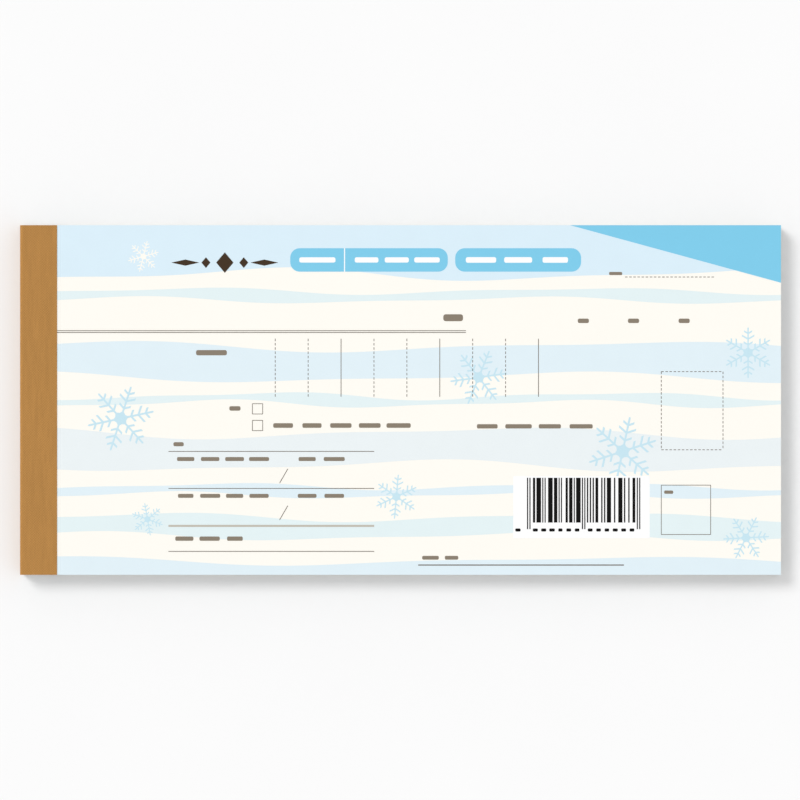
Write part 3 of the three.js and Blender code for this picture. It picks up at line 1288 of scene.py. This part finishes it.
class AddStage(BookOperator):
    """Adds the camera over the book, the soft lights and the pale floor"""

    bl_idname = "form_book.add_stage"
    bl_label = "Stage"

    def execute(self, context):
        for add in (self.add_camera, self.add_sky, self.add_key, self.add_floor):
            add(context.scene, settings().stage)
        context.scene.view_settings.view_transform = "Standard"
        return {"FINISHED"}

    def add_camera(self, scene, stage):
        data = bpy.data.cameras.new("camera")
        data.lens = stage.lens
        data.sensor_width = stage.sensor
        scene.camera = linked("camera", data)
        distance = stage.lens * stage.frame_width / stage.sensor
        scene.camera.location = (-stage.frame_shift, 0, COVER_TOP + distance)

    def add_sky(self, scene, stage):
        """Even light that is as bright as the far floor at the horizon."""
        scene.world = bpy.data.worlds.new("sky")
        scene.world.use_nodes = True
        scene.world.node_tree.nodes.clear()
        sky = Builder(scene.world.node_tree)
        height = sky.apart(sky.wire("ShaderNodeTexCoord"))[2]
        ends = {"Value": height, "To Min": stage.horizon, "To Max": stage.overhead}
        light = {"Color": (1.0, 1.0, 1.0, 1.0), "Strength": sky.wire("ShaderNodeMapRange", ends)}
        sky.node("ShaderNodeOutputWorld", {"Surface": sky.wire("ShaderNodeBackground", light)})

    def add_key(self, scene, stage):
        """A key light so far away that it is equally strong all over the floor."""
        data = bpy.data.lights.new("key light", "SUN")
        data.angle = stage.key_spread
        data.energy = stage.key_strength
        light = linked("key light", data)
        light.rotation_euler = Vector(stage.key_direction).to_track_quat("Z", "Y").to_euler()

    def add_floor(self, scene, stage):
        finish = Finish("stage floor", [stage.floor_tone] * 3)
        floor_finish(finish)
        half = stage.floor_size / 2
        corners = [(-half, -half, 0), (half, -half, 0), (half, half, 0), (-half, half, 0)]
        mesh = bpy.data.meshes.new("floor")
        mesh.from_pydata(corners, [], [(0, 1, 2, 3)])
        mesh.materials.append(finish.material)
        linked("floor", mesh)


class AddBindingTape(BookOperator):
    """Adds the tape that wraps the spine, with soft bends and faint staple ridges"""

    bl_idname = "form_book.add_binding_tape"
    bl_label = "Binding tape"

    def execute(self, context):
        radius = settings().sizes.tape_bend
        bottom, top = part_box("binding_tape")
        thickness = top.z - COVER_TOP - TAPE_GAP
        outside = self.section(bottom.x, bottom.z, top.z, radius)
        inner_ends = (bottom.x + thickness, bottom.z + thickness, top.z - thickness)
        inside = self.section(*inner_ends, radius - thickness)
        rows = spread(bottom.y, top.y, TAPE_ROWS)
        outer = [[(x, y, z + (self.lift(x, y) if z == top.z else 0.0)) for x, z in outside] for y in rows]
        inner = [[(x, y, z) for x, z in inside] for y in rows]
        placed("binding_tape_wrap", "binding_tape", slab(outer, inner), "root", "binding_tape")
        return {"FINISHED"}

    def section(self, spine_x, bottom_z, top_z, radius):
        """The tape's outside or inside from its lower free edge round the spine to its upper one."""
        flat = spread(TAPE_EDGE_X, spine_x + radius, TAPE_COLUMNS)
        bends = [
            arc((spine_x + radius, middle_z), radius, first, -90, TAPE_BEND_STEPS)[1:]
            for middle_z, first in ((bottom_z + radius, 270), (top_z - radius, 180))
        ]
        return [(x, bottom_z) for x in flat] + bends[0] + bends[1][:-1] + [(x, top_z) for x in reversed(flat)]

    def lift(self, x, y):
        """How far a staple under the tape lifts it at a place on the front cover."""
        sizes = settings().sizes
        heights = []
        for start, end in map(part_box, STAPLES):
            past_end = max(start.y - y, y - end.y, 0.0)
            aside = x - (start.x + end.x) / 2
            slope = (past_end / sizes.ridge_fade) ** 2 + (aside / sizes.ridge_width) ** 2
            heights.append(sizes.staple_ridge * math.exp(-slope))
        return max(heights)


class AddSpineGlue(BookOperator):
    """Adds the film of padding glue on the spine edges of the leaves"""

    bl_idname = "form_book.add_spine_glue"
    bl_label = "Spine glue"

    def execute(self, context):
        sizes = settings().sizes
        bottom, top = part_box("spine_glue")
        columns = spread(bottom.y, top.y, GLUE_COLUMNS)
        outside, inside = [], []
        for z in spread(bottom.z, top.z, GLUE_ROWS):
            from_edge = min(z - bottom.z, top.z - z)
            drawn_in = sizes.glue_draw * max(0.0, 1 - from_edge / sizes.glue_fade) ** 2
            outside.append([(bottom.x + drawn_in, y, z) for y in columns])
            inside.append([(top.x, y, z) for y in columns])
        placed("padding_glue_film", "padding_glue", slab(outside, inside), "root", "spine_glue")
        return {"FINISHED"}


class AddStaples(BookOperator):
    """Adds the two staples of flat wire with rounded bends"""

    bl_idname = "form_book.add_staples"
    bl_label = "Staples"

    def execute(self, context):
        for node in STAPLES:
            bottom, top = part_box(node)
            shape = bmesh.new()
            prism(shape, self.side_view(bottom.y, bottom.z, top.y, top.z), bottom.x, top.x - bottom.x)
            # The outline was drawn in X and Y, and it belongs in Y and Z
            for point in shape.verts:
                point.co = point.co.zxy
            round_rim(shape, "x", settings().sizes.wire_round)
            placed(node + "_wire", "staple_wire", finished_mesh(shape, smooth=True), "root", node)
        return {"FINISHED"}

    def side_view(self, left, base, right, crown):
        """The staple's outline: crown above, legs down and ends folded in, with round outer bends."""
        sizes = settings().sizes
        wire, clinch = sizes.wire, sizes.clinch
        outside = rounded_box(left, base, right, crown, sizes.wire_bend, WIRE_BEND_STEPS)
        inside = [(clinch, base), (clinch, base + wire), (wire, base + wire), (wire, crown - wire)]
        to_left = [(left + along, z) for along, z in inside]
        to_right = [(right - along, z) for along, z in reversed(inside)]
        lower_right = 3 * (WIRE_BEND_STEPS + 1)
        return outside[:lower_right] + to_left + to_right + outside[lower_right:]


class AddFrontCover(BookOperator):
    """Adds the front cover as one card from the spine to the fore-edge, scored beside the tape"""

    bl_idname = "form_book.add_front_cover"
    bl_label = "Front cover"

    def execute(self, context):
        columns, rows = fold_columns(LEAF_X, FORE_EDGE_X), spread(BOTTOM_Y, TOP_Y, COVER_ROWS)
        card = leaf(columns, rows, flat_at(low("front_cover").z), lambda x: COVER_TOP - crease(x))
        nodes = ("front_cover", "front_cover_strip")
        placed("front_cover_card", "cover_card", card, "front_cover", *nodes, bends=True)
        return {"FINISHED"}


class AddCoverArt(BookOperator):
    """Adds the cover's background print: wavy bands, snow crystals, blue labels and corner"""

    bl_idname = "form_book.add_cover_art"
    bl_label = "Cover art"

    def execute(self, context):
        ink = settings().sizes.cover_ink
        shape = band_shape(TAPE_EDGE_X + COVER_PRINT_GAP, FORE_EDGE_X, COVER_TOP, ink)
        fold_cover_print(shape)
        bands = finished_mesh(shape)
        placed("cover_bands", "cover_card", bands, "front_cover", inks=BAND_INKS, bends=True)
        crystals = partial(crystal_print, base=COVER_TOP, thickness=ink * CRYSTAL_LAYER)
        prints = {
            "cover_crystals": crystals(BLUE_CRYSTALS, ink="crystal"),
            "cover_white_crystal": crystals(WHITE_CRYSTALS, ink="cover_card"),
            "cover_labels": flat_print(corner_and_labels(), COVER_TOP, ink * LABEL_LAYER, "sky"),
            "cover_label_marks": joined_print(printed(label_rows(), COVER_TOP, ink * MARK_LAYER)),
        }
        for name, mesh in prints.items():
            placed(name, "cover_card", mesh, "front_cover", inks=())
        return {"FINISHED"}


class AddCoverForm(BookOperator):
    """Adds the form printed on the cover: rules, boxes, amount columns, short marks and bars"""

    bl_idname = "form_book.add_cover_form"
    bl_label = "Cover form"

    def execute(self, context):
        ink = settings().sizes.cover_ink
        print_at = partial(printed, base=COVER_TOP, thickness=ink * FORM_LAYER)
        shape = bmesh.new()
        for mesh in print_at(name_rules(COVER_RULE_START)):
            shape.from_mesh(mesh)
        fold_cover_print(shape)
        rules = finished_mesh(shape)
        placed("cover_name_rules", "cover_card", rules, "front_cover", inks=["rule"], bends=True)
        diamonds = flat_print(ornament(), COVER_TOP, ink * FORM_LAYER, "letter")
        form = joined_print([diamonds, *print_at(form_rows())])
        placed("cover_form", "cover_card", form, "front_cover", inks=())
        (left, top), (right, bottom) = GROUND
        outline = rounded_box(*on_page(left, bottom), *on_page(right, top), GROUND_CORNER * MM)
        ground = flat_print([outline], COVER_TOP, ink * GROUND_LAYER, "white")
        bars = joined_print([ground, *print_at(bar_rows())])
        placed("cover_bars", "cover_card", bars, "front_cover", inks=())
        return {"FINISHED"}


class AddBackCover(BookOperator):
    """Adds the back board, which steps up under the tape"""

    bl_idname = "form_book.add_back_cover"
    bl_label = "Back cover"

    def execute(self, context):
        rise, thickness = low("back_cover_strip").z, high("back_cover").z
        step_start = TAPE_EDGE_X + BOARD_STEP_GAP
        bend_end = FOLD_X + settings().sizes.fold_reach

        def under(x):
            """The underside's height, which falls in a smooth step from the strip to the panel."""
            share = min(max((x - step_start) / (FOLD_X - step_start), 0.0), 1.0)
            return rise * (1 - share * share * (3 - 2 * share))

        strip_stops = (step_start, BOARD_STRIP_STEPS), (FOLD_X, BOARD_RISE_STEPS)
        columns = runs(LEAF_X, *strip_stops, (bend_end, FOLD_STEPS), (FORE_EDGE_X, PANEL_STEPS))
        rows = spread(BOTTOM_Y, TOP_Y, COVER_ROWS)
        board = leaf(columns, rows, under, lambda x: under(x) + thickness)
        nodes = ("back_cover", "back_cover_strip")
        placed("back_cover_board", "back_board", board, "back_cover", *nodes, bends=True)
        return {"FINISHED"}


class AddShieldCard(BookOperator):
    """Adds the loose card that is slid under the set being written on"""

    bl_idname = "form_book.add_shield_card"
    bl_label = "Shield card"

    def execute(self, context):
        sizes = settings().sizes
        bottom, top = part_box("shield_card")
        outline = rounded_box(bottom.x, bottom.y, top.x, top.y, sizes.shield_corner)
        shape = bmesh.new()
        prism(shape, outline, bottom.z, top.z - bottom.z)
        round_rim(shape, "z", sizes.shield_round)
        card = finished_mesh(shape, smooth=True)
        placed("shield_board", "shield_board", card, "shield_card", "shield_card")
        return {"FINISHED"}


class AddTurningSets(BookOperator):
    """Adds the first two sets: copies and margins divided closely at the fold, with their stubs, and tear-off
    receipts
    """

    bl_idname = "form_book.add_turning_sets"
    bl_label = "Turning sets"

    def execute(self, context):
        copy_columns = fold_columns(LEAF_X, FORE_EDGE_X - SHEET_INSET)
        margin_columns = fold_columns(LEAF_X, PERFORATION_X - TORN_GAP)
        for number in ("01", "02"):
            add_copy(number, copy_columns, TURNING_ROWS, "copy_stub_" + number)
            add_margin(number, "receipt_margin_" + number, margin_columns, "receipt_stub_" + number)
            add_receipt(number)
        return {"FINISHED"}


class AddWritingSet(BookOperator):
    """Adds the set that is written on: a flat copy, the receipt's bound margin and its tear-off sheet"""

    bl_idname = "form_book.add_writing_set"
    bl_label = "Writing set"

    def execute(self, context):
        add_copy("03", spread(LEAF_X, FORE_EDGE_X, SHEET_COLUMNS), FLAT_ROWS)
        add_margin("03", "receipt_stub_03", spread(LEAF_X, PERFORATION_X - TORN_GAP, FLAT_MARGIN_COLUMNS))
        add_receipt("03")
        return {"FINISHED"}


class AddUnusedSets(BookOperator):
    """Adds the unused sets, each two thin sheets cut a hair unevenly"""

    bl_idname = "form_book.add_unused_sets"
    bl_label = "Unused sets"

    def execute(self, context):
        for seed, node in enumerate(FORM_SETS):
            bottom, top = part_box(node)
            values = {
                "Length": top.x - bottom.x,
                "Width": top.y - bottom.y,
                "Thickness": SHEET_THICKNESS,
                "Pitch": SHEET_PITCH,
                "Trim": settings().sizes.trim_error,
                "Seed": seed,
                "Corner": (bottom.x, 0.0, bottom.z),
                "Receipt": finish_of("receipt_paper"),
                "Copy": finish_of("copy_paper"),
            }
            placed(node + "_sheets", "receipt_paper", grown(set_tree(), values), "root", node, inks=())
        return {"FINISHED"}


PIECES = (
    AddBindingTape,
    AddSpineGlue,
    AddStaples,
    AddFrontCover,
    AddCoverArt,
    AddCoverForm,
    AddBackCover,
    AddShieldCard,
    AddTurningSets,
    AddWritingSet,
    AddUnusedSets,
)


class FormBookPanel(bpy.types.Panel):
    """Lists the book's pieces and their sizes in the sidebar"""

    bl_idname = "VIEW3D_PT_form_book"
    bl_label = "Form book"
    bl_space_type = "VIEW_3D"
    bl_region_type = "UI"
    bl_category = "Form book"

    def draw(self, context):
        for operator in (AddStage, *PIECES):
            self.layout.operator(operator.bl_idname)
        book = context.scene.form_book
        for group in (book.sizes, book.colours, book.stage):
            for name in group.__annotations__:
                self.layout.prop(group, name)


CLASSES = (BookSizes, PrintColours, StageSettings, FormBookSettings, AddStage, *PIECES, FormBookPanel)


def register():
    for kind in CLASSES:
        bpy.utils.register_class(kind)
    bpy.types.Scene.form_book = bpy.props.PointerProperty(type=FormBookSettings)


def unregister():
    del bpy.types.Scene.form_book
    for kind in reversed(CLASSES):
        bpy.utils.unregister_class(kind)


def main():
    register()
    for piece in (AddStage, *PIECES):
        getattr(bpy.ops.form_book, piece.bl_idname.split(".")[1])()


if __name__ == "__main__":
    main()
